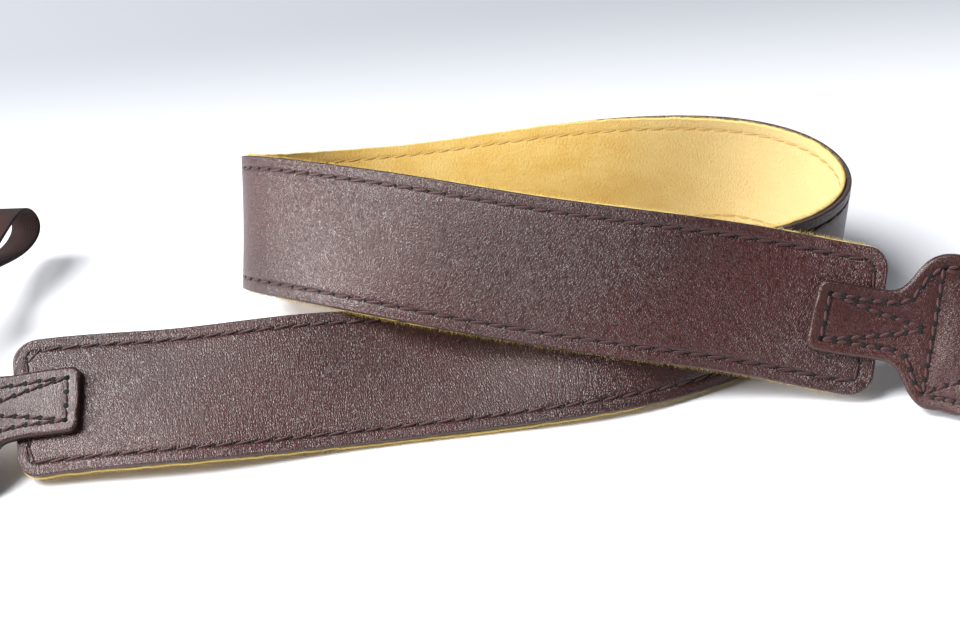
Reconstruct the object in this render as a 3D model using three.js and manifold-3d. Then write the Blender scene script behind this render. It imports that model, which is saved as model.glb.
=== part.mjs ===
// A camera neck strap: a wide leather band with a suede lining, two smooth leather connectors stitched
// on its ends, and narrow webbing that folds over to take a camera's lug on each side.
// It lies in a loose loop on a table, the front run of the band resting across the lower one.
// Millimetres, +X along the strap's spread, +Y away from the viewer, +Z up.
import * as THREE from "three";
import { mergeVertices } from "three/addons/utils/BufferGeometryUtils.js";
import Module from "manifold-3d";

const wasm = await Module();
wasm.setup();

// Band
const bandLength = 655;
const bandWidth = 38;
const bandCorner = 6;
const leatherThickness = 1.4;
const liningThickness = 1.0;
const liningInset = 0.3;
const pieceGap = 0.3;

// Connectors
const connectorThickness = 2.2;
const connectorCrown = 1.3;
const connectorLength = 62;
const tongueOverlap = 17.5;
const tongueWidth = 18;
const shoulderWidth = 38.5;
const connectorTailWidth = 17;
const tongueCorner = 2.5;

// Webbing
const webbingWidth = 10;
const webbingThickness = 1.2;
const webbingSeat = 14;
const pocketClearance = 0.3;
const strandGap = 0.4;
const bightLength = 34;
const bightHeight = 15;
const tailLength = 46;

// Sliders
const sliderLength = 13;
const sliderWall = 1.6;
const sliderBar = 2.4;
const sliderClearance = 0.6;
const sliderDistance = 12;

// Lengths of the steps along each piece, and the counts round a corner and round the fold
const bandStep = 3.4;
const connectorStep = 1.9;
const webbingStep = 2.4;
const trackStep = 0.5;
const cornerSteps = 5;
const foldSteps = 30;

// Heights of the layers, measured from the band's seam towards its leather face
const liningBack = -pieceGap / 2 - liningThickness;
const liningFace = -pieceGap / 2;
const leatherBack = pieceGap / 2;
const leatherFace = leatherBack + leatherThickness;
const connectorBack = leatherFace + pieceGap;
const connectorFace = connectorBack + connectorThickness;
const webbingBack = connectorBack + (connectorThickness + connectorCrown - webbingThickness) / 2;
const webbingFace = webbingBack + webbingThickness;

// Above the webbing that runs: the returning strand, the slider's middle bar between the two strands,
// and how far the returning strand climbs to pass over that bar
const returnHeight = webbingThickness + strandGap;
const barGap = 2 * pieceGap;
const barClimb = sliderWall + barGap - strandGap;

// What rests at a station: half its width and the heights of its two faces
const band = { half: bandWidth / 2, back: liningBack, face: leatherFace };
const shoulder = { half: shoulderWidth / 2, back: connectorBack, face: connectorFace };
const webbing = { half: webbingWidth / 2, back: webbingBack, face: webbingFace };

// Stations of the middle line. along and deep are shares of bandLength, lift is a share of bandWidth
// above where the piece would rest, lean is in degrees from upright, to the left of the way it runs.
const route = [
  { along: -0.231, deep: 0.046, lift: 0.42, lean: 88, piece: webbing },
  { along: -0.2395, deep: 0.015, lift: 0.57, lean: 84, piece: webbing },
  { along: -0.258, deep: -0.015, lift: 0.56, lean: 62, piece: webbing },
  { along: -0.292, deep: -0.03, lift: 0.38, lean: 30, piece: webbing },
  { along: -0.31, deep: -0.058, lift: 0.22, lean: 15, piece: webbing },
  { along: -0.29, deep: -0.082, lift: 0.12, lean: 30, piece: webbing },
  { along: -0.256, deep: -0.081, lift: 0.04, lean: 48, piece: webbing },
  { along: -0.223, deep: -0.069, lift: 0.02, lean: 55, piece: shoulder },
  { along: -0.186, deep: -0.061, lift: 0.04, lean: 56, piece: band, mark: "leftEnd" },
  { along: -0.125, deep: -0.062, lift: 0.08, lean: 60, piece: band },
  { along: -0.06, deep: -0.058, lift: 0, lean: 57, piece: band },
  { along: 0, deep: -0.055, lift: 0, lean: 64, piece: band },
  { along: 0.05, deep: -0.057, lift: 0, lean: 45, piece: band },
  { along: 0.1, deep: -0.053, lift: 0, lean: 16, piece: band },
  { along: 0.134, deep: -0.039, lift: 0, lean: 1, piece: band },
  { along: 0.1535, deep: -0.012, lift: 0, lean: -4, piece: band },
  { along: 0.1525, deep: 0.025, lift: 0.02, lean: 2, piece: band },
  { along: 0.125, deep: 0.0545, lift: 0.04, lean: 8, piece: band },
  { along: 0.08, deep: 0.064, lift: 0.01, lean: -6, piece: band },
  { along: 0.025, deep: 0.068, lift: 0, lean: -31, piece: band },
  { along: -0.03, deep: 0.071, lift: 0, lean: -40, piece: band },
  { along: -0.075, deep: 0.065, lift: 0.01, lean: -28, piece: band },
  { along: -0.0965, deep: 0.044, lift: 0.16, lean: -5, piece: band },
  { along: -0.094, deep: 0.021, lift: 0.37, lean: 20, piece: band },
  { along: -0.072, deep: -0.003, lift: 0.55, lean: 36, piece: band },
  { along: -0.036, deep: -0.026, lift: 0.59, lean: 37, piece: band },
  { along: 0.013, deep: -0.045, lift: 0.46, lean: 27, piece: band },
  { along: 0.065, deep: -0.0585, lift: 0.33, lean: 25, piece: band },
  { along: 0.11, deep: -0.064, lift: 0.16, lean: 26, piece: band },
  { along: 0.153, deep: -0.0735, lift: 0.02, lean: 30, piece: band, mark: "rightEnd" },
  { along: 0.186, deep: -0.085, lift: 0, lean: 34, piece: shoulder },
  { along: 0.225, deep: -0.1, lift: 0, lean: 48, piece: webbing },
  { along: 0.26, deep: -0.104, lift: 0.035, lean: 55, piece: webbing },
  { along: 0.292, deep: -0.092, lift: 0.025, lean: 68, piece: webbing },
  { along: 0.314, deep: -0.07, lift: 0, lean: 82, piece: webbing },
  { along: 0.329, deep: -0.046, lift: 0, lean: 90, piece: webbing },
  { along: 0.343, deep: -0.021, lift: 0, lean: 90, piece: webbing },
  { along: 0.357, deep: 0.004, lift: 0, lean: 90, piece: webbing },
];

// The fold-over end: ahead and up are shares of bightLength and bightHeight
const bight = [
  { ahead: 0, up: 0 },
  { ahead: 0.4, up: 0.02 },
  { ahead: 0.78, up: 0.14 },
  { ahead: 1, up: 0.52 },
  { ahead: 0.8, up: 0.93 },
  { ahead: 0.4, up: 0.62 },
  { ahead: 0, up: returnHeight / bightHeight },
];

// Half the connector's width, from the tip of its tongue: at is a share of connectorLength
const connectorOutline = [
  { at: 0, half: tongueWidth / 2 },
  { at: 0.16, half: tongueWidth / 2 },
  { at: 0.3, half: tongueWidth / 2 },
  { at: 0.365, half: shoulderWidth * 0.285 },
  { at: 0.415, half: shoulderWidth * 0.41 },
  { at: 0.47, half: shoulderWidth * 0.49 },
  { at: 0.6, half: shoulderWidth / 2 },
  { at: 0.72, half: shoulderWidth * 0.49 },
  { at: 0.88, half: (shoulderWidth + connectorTailWidth) * 0.23 },
  { at: 1, half: connectorTailWidth / 2 },
];

// How much of the crown stands along the connector: the tongue is flat, the body swells over the webbing
const connectorSwell = [
  { at: 0, crown: 0 },
  { at: 0.5, crown: 0 },
  { at: 0.56, crown: 0.25 },
  { at: 0.7, crown: 1 },
  { at: 0.9, crown: 0.9 },
  { at: 1, crown: 0.85 },
];

// The crown's shape from the middle of the connector to its edge: across is a share of half the width
const crownShape = [
  { across: 0.3, height: 1 },
  { across: 0.7, height: 0.75 },
  { across: 1, height: 0 },
];

const up = new THREE.Vector3(0, 0, 1);

// A smooth function through the given knots and values: a natural cubic spline
function smooth(knots, values) {
  const last = knots.length - 1;
  const step = knots.slice(1).map((knot, i) => knot - knots[i]);
  const slope = step.map((h, i) => (values[i + 1] - values[i]) / h);
  const bend = new Array(last + 1).fill(0);
  const share = [0];
  const rest = [0];
  for (let i = 1; i < last; i++) {
    const pivot = 2 * (step[i - 1] + step[i]) - step[i - 1] * share[i - 1];
    share.push(step[i] / pivot);
    rest.push((6 * (slope[i] - slope[i - 1]) - step[i - 1] * rest[i - 1]) / pivot);
  }
  for (let i = last - 1; i > 0; i--) bend[i] = rest[i] - share[i] * bend[i + 1];
  return (at) => {
    let i = 0;
    while (i < last - 1 && at > knots[i + 1]) i++;
    const before = (knots[i + 1] - at) / step[i];
    const after = 1 - before;
    const curve = (before ** 3 - before) * bend[i] + (after ** 3 - after) * bend[i + 1];
    return before * values[i] + after * values[i + 1] + (curve * step[i] ** 2) / 6;
  };
}

// How high a station's middle line lies when its piece just touches the table
function restingHeight({ lean, piece }) {
  const angle = THREE.MathUtils.degToRad(lean);
  const lowFace = lean < 0 ? -piece.face : piece.back;
  return piece.half * Math.cos(angle) - lowFace * Math.abs(Math.sin(angle));
}

// The middle line as a function of the length along it
function makeTrack(stations) {
  const points = stations.map((row) => {
    const height = restingHeight(row) + row.lift * bandWidth;
    return new THREE.Vector3(row.along * bandLength, row.deep * bandLength, height);
  });
  const knots = [0];
  points.slice(1).forEach((point, i) => knots.push(knots[i] + point.distanceTo(points[i])));
  const axes = ["x", "y", "z"].map((axis) => smooth(knots, points.map((point) => point[axis])));
  const lean = smooth(knots, stations.map((row) => row.lean));
  const place = (knot) => new THREE.Vector3(...axes.map((axis) => axis(knot)));
  const count = Math.ceil(knots.at(-1) / trackStep);
  const lengths = [0];
  for (let i = 1; i <= count; i++) {
    const from = place(((i - 1) * knots.at(-1)) / count);
    lengths.push(lengths[i - 1] + from.distanceTo(place((i * knots.at(-1)) / count)));
  }
  const knotAt = (length) => {
    let low = 0;
    let high = count;
    while (high - low > 1) {
      const middle = (low + high) >> 1;
      if (lengths[middle] > length) high = middle;
      else low = middle;
    }
    const part = (length - lengths[low]) / (lengths[high] - lengths[low]);
    return ((low + part) * knots.at(-1)) / count;
  };
  const frameAt = (length) => {
    const knot = knotAt(length);
    const forward = place(knot + trackStep).sub(place(knot - trackStep)).normalize();
    const left = new THREE.Vector3().crossVectors(up, forward).normalize();
    const angle = THREE.MathUtils.degToRad(lean(knot));
    const across = up.clone().multiplyScalar(Math.cos(angle)).addScaledVector(left, Math.sin(angle));
    across.addScaledVector(forward, -across.dot(forward)).normalize();
    const out = new THREE.Vector3().crossVectors(forward, across);
    return { point: place(knot), across, out, forward };
  };
  const lengthAt = (mark) => {
    const share = knots[stations.findIndex((row) => row.mark === mark)] / knots.at(-1);
    const part = share * count;
    const low = Math.floor(part);
    return lengths[low] + (part - low) * (lengths[low + 1] - lengths[low]);
  };
  return { frameAt, lengthAt, length: lengths.at(-1) };
}

// Evenly spaced lengths from start to end, with both ends
function steps(start, end, step) {
  const count = Math.max(1, Math.round(Math.abs(end - start) / step));
  return Array.from({ length: count + 1 }, (_, i) => start + ((end - start) * i) / count);
}

// A closed solid through the given sections, each a ring of points in the same order. The two halves of
// the ring are split along the same diagonal, so that layers that twist together stay parallel.
function loft(rings) {
  const size = rings[0].length;
  const corners = rings.flat().flatMap((point) => point.toArray());
  const faces = [];
  rings.slice(1).forEach((_, r) => {
    for (let i = 0; i < size; i++) {
      const a = r * size + i;
      const b = r * size + ((i + 1) % size);
      const quad = i < size / 2 ? [a, b, a + size, b + size] : [b, b + size, a, a + size];
      const order = i < size / 2 ? [0, 1, 2, 1, 3, 2] : [2, 0, 1, 2, 1, 3];
      faces.push(...order.map((corner) => quad[corner]));
    }
  });
  const end = (rings.length - 1) * size;
  for (let i = 1; i < size - 1; i++) {
    faces.push(0, i + 1, i);
    faces.push(end, end + i, end + i + 1);
  }
  const geometry = new THREE.BufferGeometry();
  geometry.setAttribute("position", new THREE.Float32BufferAttribute(corners, 3));
  geometry.setIndex(faces);
  return geometry;
}

// A point of a frame, so far across it and so far out towards the leather face
function pointOf(frame, across, out) {
  return frame.point.clone().addScaledVector(frame.across, across).addScaledVector(frame.out, out);
}

// A flat strip between two heights: rows hold a frame and half the width there
function strip(rows, back, face) {
  return loft(
    rows.map(({ frame, half }) => [
      pointOf(frame, -half, back),
      pointOf(frame, half, back),
      pointOf(frame, half, face),
      pointOf(frame, -half, face),
    ]),
  );
}

// A rounded corner: how far each step lies from the end, and what half the width loses there
function cornerRows(radius) {
  return Array.from({ length: cornerSteps }, (_, i) => {
    const angle = (i * Math.PI) / 2 / cornerSteps;
    return { at: radius * (1 - Math.cos(angle)), loss: radius * (1 - Math.sin(angle)) };
  });
}

// Lengths and half widths of a strip whose two ends have rounded corners
function roundedEnds(start, end, width, radius, step) {
  const corner = cornerRows(radius);
  const first = corner.map(({ at, loss }) => ({ at: start + at, half: width / 2 - loss }));
  const last = corner.map(({ at, loss }) => ({ at: end - at, half: width / 2 - loss }));
  const middle = steps(start + radius, end - radius, step).map((at) => ({ at, half: width / 2 }));
  return [...first, ...middle, ...last.reverse()];
}

const track = makeTrack(route);
const leftEnd = track.lengthAt("leftEnd");
const rightEnd = track.lengthAt("rightEnd");

const solids = {};

function onTrack(rows) {
  return rows.map(({ at, half }) => ({ frame: track.frameAt(at), half }));
}

solids.band_leather = strip(
  onTrack(roundedEnds(leftEnd, rightEnd, bandWidth, bandCorner, bandStep)),
  leatherBack,
  leatherFace,
);
solids.band_lining = strip(
  onTrack(
    roundedEnds(
      leftEnd + liningInset,
      rightEnd - liningInset,
      bandWidth - 2 * liningInset,
      bandCorner - liningInset,
      bandStep,
    ),
  ),
  liningBack,
  liningFace,
);

// A connector's section: flat behind, its face swelling to a crown over the webbing that it holds
function connectorSection(frame, half, crown) {
  const face = (side) => (row) =>
    pointOf(frame, side * half * row.across, connectorFace + crown * row.height);
  return [
    pointOf(frame, -half, connectorBack),
    pointOf(frame, half, connectorBack),
    ...[...crownShape].reverse().map(face(1)),
    ...crownShape.map(face(-1)),
  ];
}

// A connector from the tip of its tongue, towards the webbing: way is 1 to the right and -1 to the left
function connector(tip, way) {
  const outline = smooth(
    connectorOutline.map((row) => row.at * connectorLength),
    connectorOutline.map((row) => row.half),
  );
  const swell = smooth(
    connectorSwell.map((row) => row.at * connectorLength),
    connectorSwell.map((row) => row.crown * connectorCrown),
  );
  const body = steps(tongueCorner, connectorLength, connectorStep).map((at) => ({ at, loss: 0 }));
  const rings = [...cornerRows(tongueCorner), ...body].map(({ at, loss }) => {
    const frame = track.frameAt(tip + way * at);
    return connectorSection(frame, outline(at) - loss, Math.max(0, swell(at)));
  });
  return loft(way > 0 ? rings : rings.reverse());
}

// The shape of the returning strand's climb over the slider's middle bar, from its middle to its foot
const hump = (share) => (share < 1 ? (1 + Math.cos(Math.PI * share)) / 2 : 0);

// The webbing's strands and fold: the end of the track, the way that it runs there and the connector's tail
function strandRows(end, way, tail) {
  const root = track.frameAt(end);
  const ahead = root.forward.clone().multiplyScalar(way);
  const seat = tail - way * webbingSeat;
  const main = steps(seat, end, webbingStep).map((at) => track.frameAt(at));
  const shares = bight.map((_, i) => i / (bight.length - 1));
  const forward = smooth(shares, bight.map((row) => row.ahead * bightLength));
  const rise = smooth(shares, bight.map((row) => row.up * bightHeight));
  const middle = (webbingBack + webbingFace) / 2;
  const foldPoint = (share) =>
    pointOf(root, 0, middle + rise(share)).addScaledVector(ahead, forward(share));
  const fold = Array.from({ length: foldSteps - 1 }, (_, i) => {
    const share = (i + 1) / foldSteps;
    const before = foldPoint((i + 0.5) / foldSteps);
    const after = foldPoint((i + 1.5) / foldSteps);
    const along = after.sub(before).normalize().multiplyScalar(way);
    const out = new THREE.Vector3().crossVectors(along, root.across);
    return { point: foldPoint(share).addScaledVector(out, -middle), across: root.across, out };
  });
  const returning = steps(end, end - way * tailLength, webbingStep).map((at) => {
    const frame = track.frameAt(at);
    const fromSlider = Math.abs(at - end + way * sliderDistance);
    const climb = barClimb * hump(fromSlider / (sliderLength / 2));
    const point = pointOf(frame, 0, 2 * middle + returnHeight + climb);
    return { point, across: frame.across, out: frame.out.clone().negate() };
  });
  return [...main, ...fold, ...returning].map((frame) => ({ frame, half: webbingWidth / 2 }));
}

function webbingStrip(end, way, tail) {
  const rows = strandRows(end, way, tail);
  return strip(way > 0 ? rows : rows.reverse(), webbingBack, webbingFace);
}

// A box in a frame, between two lengths along it, two places across it and two heights
function frameBox(frame, along, across, out) {
  const rings = along.map((place) => {
    const moved = { ...frame, point: frame.point.clone().addScaledVector(frame.forward, place) };
    return [
      pointOf(moved, across[0], out[0]),
      pointOf(moved, across[1], out[0]),
      pointOf(moved, across[1], out[1]),
      pointOf(moved, across[0], out[1]),
    ];
  });
  return loft(rings);
}

// A plain one-piece slider: two side walls, a middle bar between the strands and two bars over them
function slider(end, way) {
  const frame = track.frameAt(end - way * sliderDistance);
  const inner = webbingWidth / 2 + sliderClearance;
  const outer = inner + sliderWall;
  const middleBar = [webbingFace + pieceGap, webbingFace + pieceGap + sliderWall];
  const half = sliderLength / 2;
  const footClimb = barClimb * hump((half - sliderBar) / half);
  const overReturn = webbingFace + returnHeight + footClimb + barGap;
  const topBar = [overReturn, overReturn + sliderWall];
  const walls = [webbingBack, topBar[1]];
  const boxes = [
    [[-half, half], [inner, outer], walls],
    [[-half, half], [-outer, -inner], walls],
    [[-sliderBar / 2, sliderBar / 2], [-outer, outer], middleBar],
    [[half - sliderBar, half], [-outer, outer], topBar],
    [[-half, -half + sliderBar], [-outer, outer], topBar],
  ].map((box) => solidOf(frameBox(frame, ...box)));
  return geometryOf(boxes.slice(1).reduce((all, box) => all.add(box), boxes[0]));
}

function solidOf(geometry) {
  const plain = new THREE.BufferGeometry();
  plain.setAttribute("position", geometry.getAttribute("position"));
  plain.setIndex(geometry.getIndex());
  const merged = mergeVertices(plain, 1e-4);
  return new wasm.Manifold(
    new wasm.Mesh({
      numProp: 3,
      vertProperties: new Float32Array(merged.getAttribute("position").array),
      triVerts: new Uint32Array(merged.getIndex().array),
    }),
  );
}

function geometryOf(solid) {
  const mesh = solid.getMesh();
  const geometry = new THREE.BufferGeometry();
  geometry.setAttribute("position", new THREE.Float32BufferAttribute(mesh.vertProperties, 3));
  geometry.setIndex(Array.from(mesh.triVerts));
  return geometry;
}

const sides = [
  { name: "left", way: -1, band: leftEnd, end: 0 },
  { name: "right", way: 1, band: rightEnd, end: track.length },
];
for (const side of sides) {
  const tip = side.band - side.way * tongueOverlap;
  const tail = tip + side.way * connectorLength;
  const seat = tail - side.way * (webbingSeat + pocketClearance);
  const pocketRows = steps(seat, tail + side.way * webbingStep, webbingStep).map((at) => ({
    frame: track.frameAt(at),
    half: webbingWidth / 2 + pocketClearance,
  }));
  const pocket = strip(
    side.way > 0 ? pocketRows : pocketRows.reverse(),
    webbingBack - pocketClearance,
    webbingFace + pocketClearance,
  );
  const blank = solidOf(connector(tip, side.way));
  solids["connector_" + side.name] = geometryOf(blank.subtract(solidOf(pocket)));
  solids["webbing_" + side.name] = webbingStrip(side.end, side.way, tail);
  solids["slider_" + side.name] = slider(side.end, side.way);
}

const finishes = {
  band_leather: { color: 0x4a2a26, roughness: 0.55, metalness: 0 },
  band_lining: { color: 0xe0b54f, roughness: 0.95, metalness: 0 },
  connector: { color: 0x452622, roughness: 0.4, metalness: 0 },
  webbing: { color: 0x3a2422, roughness: 0.85, metalness: 0 },
  slider: { color: 0x2a1d1b, roughness: 0.45, metalness: 0 },
};

const strap = new THREE.Group();
for (const [name, geometry] of Object.entries(solids)) {
  const finish = finishes[name] ?? finishes[name.split("_")[0]];
  const mesh = new THREE.Mesh(geometry, new THREE.MeshStandardMaterial(finish));
  mesh.name = name;
  strap.add(mesh);
}

// The origin is the middle of the strap's footprint, on the table
const extent = new THREE.Box3().setFromObject(strap);
const middle = extent.getCenter(new THREE.Vector3());
strap.position.set(-middle.x, -middle.y, -extent.min.z);

export default strap;
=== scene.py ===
# %% [markdown]
# A camera neck strap on a pale table: a wide grain leather band with a suede lining, two smooth
# leather connectors, and narrow webbing that folds over at each end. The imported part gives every
# place and size. Its plain layers could be subdivided and dressed, but their few points would still
# show, so this lesson draws each layer again, finer and in the same place, then sews and grains it.

import math

import bmesh
import bpy
import numpy as np
from mathutils import Matrix, Vector


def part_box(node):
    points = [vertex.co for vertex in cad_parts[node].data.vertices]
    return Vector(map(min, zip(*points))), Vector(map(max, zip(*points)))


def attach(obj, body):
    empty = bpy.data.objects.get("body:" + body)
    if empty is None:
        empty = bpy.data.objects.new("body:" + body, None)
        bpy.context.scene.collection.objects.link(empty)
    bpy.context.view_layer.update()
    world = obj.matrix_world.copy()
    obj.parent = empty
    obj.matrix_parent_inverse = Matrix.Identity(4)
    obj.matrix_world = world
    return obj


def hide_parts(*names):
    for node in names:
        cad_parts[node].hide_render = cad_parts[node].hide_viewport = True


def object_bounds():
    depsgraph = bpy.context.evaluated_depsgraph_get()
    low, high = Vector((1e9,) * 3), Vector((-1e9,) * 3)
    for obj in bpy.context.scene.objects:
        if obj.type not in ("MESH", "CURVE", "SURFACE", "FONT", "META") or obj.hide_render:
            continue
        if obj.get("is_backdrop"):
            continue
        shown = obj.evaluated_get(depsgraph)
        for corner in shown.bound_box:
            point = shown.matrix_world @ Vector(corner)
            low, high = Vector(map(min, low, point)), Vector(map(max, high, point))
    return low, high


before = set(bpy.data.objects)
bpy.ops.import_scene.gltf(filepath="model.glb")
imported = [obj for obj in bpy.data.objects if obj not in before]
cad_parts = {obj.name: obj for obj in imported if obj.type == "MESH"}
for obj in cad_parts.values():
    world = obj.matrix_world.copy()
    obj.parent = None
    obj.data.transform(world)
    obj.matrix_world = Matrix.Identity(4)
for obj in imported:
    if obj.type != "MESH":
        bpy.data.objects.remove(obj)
cad_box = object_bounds()
MM = 0.001
print("nodes", sorted(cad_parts))

# %% [markdown]
# All sizes are the strap's own, in millimetres. They could be typed where they are used, but named
# once, a change reaches every piece. Heights are measured from the seam between the leather and
# the lining, towards the leather's face, so each layer sits on the one below it.

# %% Sizes of the strap
BAND_LENGTH, BAND_WIDTH, BAND_CORNER = 655, 38, 6  # the length that the stations share
LEATHER, LINING, GAP = 1.4, 1.0, 0.3
CONNECTOR, CROWN, CONNECTOR_LENGTH = 2.2, 1.3, 62
TONGUE_OVERLAP, TONGUE_WIDTH, TONGUE_CORNER = 17.5, 18, 2.5
SHOULDER_WIDTH, TAIL_WIDTH = 38.5, 17
WEBBING_WIDTH, WEBBING, WEBBING_SEAT, STRAND_GAP = 10, 1.2, 14, 0.4
BIGHT_LENGTH, BIGHT_HEIGHT, TAIL_LENGTH = 34, 15, 46
SLIDER_LENGTH, SLIDER_WALL, SLIDER_BAR, SLIDER_CLEARANCE, SLIDER_DISTANCE = 13, 1.6, 2.4, 0.6, 12

LINING_BACK = -GAP / 2 - LINING
LINING_FACE = -GAP / 2
LEATHER_BACK = GAP / 2
LEATHER_FACE = LEATHER_BACK + LEATHER
CONNECTOR_BACK = LEATHER_FACE + GAP
CONNECTOR_FACE = CONNECTOR_BACK + CONNECTOR
WEBBING_BACK = CONNECTOR_BACK + (CONNECTOR + CROWN - WEBBING) / 2
WEBBING_FACE = WEBBING_BACK + WEBBING
WEBBING_MIDDLE = (WEBBING_BACK + WEBBING_FACE) / 2
RETURN_HEIGHT = WEBBING + STRAND_GAP
BAR_GAP = 2 * GAP
BAR_CLIMB = SLIDER_WALL + BAR_GAP - STRAND_GAP
print("band stack", round(LEATHER_FACE - LINING_BACK, 2), "mm thick")

# %% [markdown]
# The strap lies along one line that loops over itself. A Bezier curve could be dragged to it by
# hand, but then no number would say how the strap lies. Here each station says where the line is,
# as shares of the band's length, how high it is lifted, as a share of its width, and how far it
# leans from upright. A natural cubic spline joins the stations, as a batten would.

# %% The line that the strap follows
WEB = (WEBBING_WIDTH / 2, WEBBING_BACK, WEBBING_FACE)
SHOULDER = (SHOULDER_WIDTH / 2, CONNECTOR_BACK, CONNECTOR_FACE)
BAND = (BAND_WIDTH / 2, LINING_BACK, LEATHER_FACE)
STATIONS = [  # along, deep, lift, lean, piece
    (-0.231, 0.046, 0.42, 88, WEB),
    (-0.2395, 0.015, 0.57, 84, WEB),
    (-0.258, -0.015, 0.56, 62, WEB),
    (-0.292, -0.03, 0.38, 30, WEB),
    (-0.31, -0.058, 0.22, 15, WEB),
    (-0.29, -0.082, 0.12, 30, WEB),
    (-0.256, -0.081, 0.04, 48, WEB),
    (-0.223, -0.069, 0.02, 55, SHOULDER),
    (-0.186, -0.061, 0.04, 56, BAND),
    (-0.125, -0.062, 0.08, 60, BAND),
    (-0.06, -0.058, 0, 57, BAND),
    (0, -0.055, 0, 64, BAND),
    (0.05, -0.057, 0, 45, BAND),
    (0.1, -0.053, 0, 16, BAND),
    (0.134, -0.039, 0, 1, BAND),
    (0.1535, -0.012, 0, -4, BAND),
    (0.1525, 0.025, 0.02, 2, BAND),
    (0.125, 0.0545, 0.04, 8, BAND),
    (0.08, 0.064, 0.01, -6, BAND),
    (0.025, 0.068, 0, -31, BAND),
    (-0.03, 0.071, 0, -40, BAND),
    (-0.075, 0.065, 0.01, -28, BAND),
    (-0.0965, 0.044, 0.16, -5, BAND),
    (-0.094, 0.021, 0.37, 20, BAND),
    (-0.072, -0.003, 0.55, 36, BAND),
    (-0.036, -0.026, 0.59, 37, BAND),
    (0.013, -0.045, 0.46, 27, BAND),
    (0.065, -0.0585, 0.33, 25, BAND),
    (0.11, -0.064, 0.16, 26, BAND),
    (0.153, -0.0735, 0.02, 30, BAND),
    (0.186, -0.085, 0, 34, SHOULDER),
    (0.225, -0.1, 0, 48, WEB),
    (0.26, -0.104, 0.035, 55, WEB),
    (0.292, -0.092, 0.025, 68, WEB),
    (0.314, -0.07, 0, 82, WEB),
    (0.329, -0.046, 0, 90, WEB),
    (0.343, -0.021, 0, 90, WEB),
    (0.357, 0.004, 0, 90, WEB),
]
LEFT_MARK, TURN_MARK, RIGHT_MARK = 8, 16, 29  # the band's ends, and where it turns back
TRACK_STEP = 0.5
UP = np.array([0, 0, 1])


def spline(knots, values):
    knots, values = np.asarray(knots, float), np.asarray(values, float)
    step = np.diff(knots)
    slope = np.diff(values, axis=0) / step[:, None]
    system, right = np.eye(len(knots)), np.zeros_like(values)
    for i in range(1, len(knots) - 1):
        system[i, i - 1 : i + 2] = step[i - 1], 2 * (step[i - 1] + step[i]), step[i]
        right[i] = 6 * (slope[i] - slope[i - 1])
    bend = np.linalg.solve(system, right)

    def curve(at):
        at = np.atleast_1d(np.asarray(at, float))
        i = np.clip(np.searchsorted(knots, at) - 1, 0, len(step) - 1)
        before = ((knots[i + 1] - at) / step[i])[:, None]
        after = 1 - before
        sag = (before**3 - before) * bend[i] + (after**3 - after) * bend[i + 1]
        return before * values[i] + after * values[i + 1] + sag * step[i][:, None] ** 2 / 6

    return curve


def station_point(row):
    along, deep, lift, lean, (half, back, face) = row
    angle = math.radians(lean)
    low_face = -face if lean < 0 else back
    rest = half * math.cos(angle) - low_face * abs(math.sin(angle))
    return along * BAND_LENGTH, deep * BAND_LENGTH, rest + lift * BAND_WIDTH


def unit(vectors):
    return vectors / np.linalg.norm(vectors, axis=-1, keepdims=True)


points = np.array([station_point(row) for row in STATIONS])
knots = np.concatenate([[0], np.cumsum(np.linalg.norm(np.diff(points, axis=0), axis=1))])
point_at = spline(knots, points)
lean_at = spline(knots, [[row[3]] for row in STATIONS])
fine_knots = np.linspace(0, knots[-1], math.ceil(knots[-1] / TRACK_STEP) + 1)
steps = np.linalg.norm(np.diff(point_at(fine_knots), axis=0), axis=1)
lengths = np.concatenate([[0], np.cumsum(steps)])
TRACK_LENGTH = lengths[-1]
LEFT_END = np.interp(knots[LEFT_MARK], fine_knots, lengths)
RIGHT_END = np.interp(knots[RIGHT_MARK], fine_knots, lengths)


def frames_at(at):
    """Middle point, across, out and forward at the given lengths, each as rows of x, y, z."""
    knot = np.interp(np.atleast_1d(at), lengths, fine_knots)
    forward = unit(point_at(knot + TRACK_STEP) - point_at(knot - TRACK_STEP))
    left = unit(np.cross(UP, forward))
    angle = np.radians(lean_at(knot))
    across = np.cos(angle) * UP + np.sin(angle) * left
    across = unit(across - np.sum(across * forward, axis=1, keepdims=True) * forward)
    return point_at(knot), across, np.cross(forward, across), forward


print("track", round(TRACK_LENGTH), "mm, band", round(RIGHT_END - LEFT_END), "mm")

# %% [markdown]
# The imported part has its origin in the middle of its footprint, so the line is moved there too. The
# move could be typed in, but measured, it can't drift from the part: the middle of the packed
# band's box and that of the drawn band's box must meet.

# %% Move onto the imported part
OUTLINE_STEP = 0.5


def corner_loss(at, start, end, corner):
    """How much half the width loses near the rounded ends of a strip."""
    left_over = np.maximum(corner - np.minimum(at - start, end - at), 0)
    return corner - np.sqrt(np.maximum(corner**2 - left_over**2, 0))


def band_outline():
    at = np.linspace(LEFT_END, RIGHT_END, round((RIGHT_END - LEFT_END) / OUTLINE_STEP))
    half = (BAND_WIDTH / 2 - corner_loss(at, LEFT_END, RIGHT_END, BAND_CORNER))[:, None]
    middle, across, out, _ = frames_at(at)
    faces = (LEATHER_BACK, LEATHER_FACE)
    sides = [middle + sign * half * across + face * out for sign in (-1, 1) for face in faces]
    return np.concatenate(sides)


packed = np.array([list(corner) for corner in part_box("band_leather")]) / MM
drawn = band_outline()
SHIFT = packed.mean(axis=0) - (drawn.min(axis=0) + drawn.max(axis=0)) / 2
print("shift", SHIFT.round(2))
print("span left over", (np.ptp(packed, axis=0) - np.ptp(drawn, axis=0)).round(2))

# %% [markdown]
# The photograph was taken from in front and above, with a slight roll. A Track To constraint could
# aim the camera but not roll it, so its three axes are worked out here. A 50 mm lens on a 36 mm
# wide frame, 386 mm from the middle of the view, gives the same narrowing of the band towards the
# back.

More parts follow.
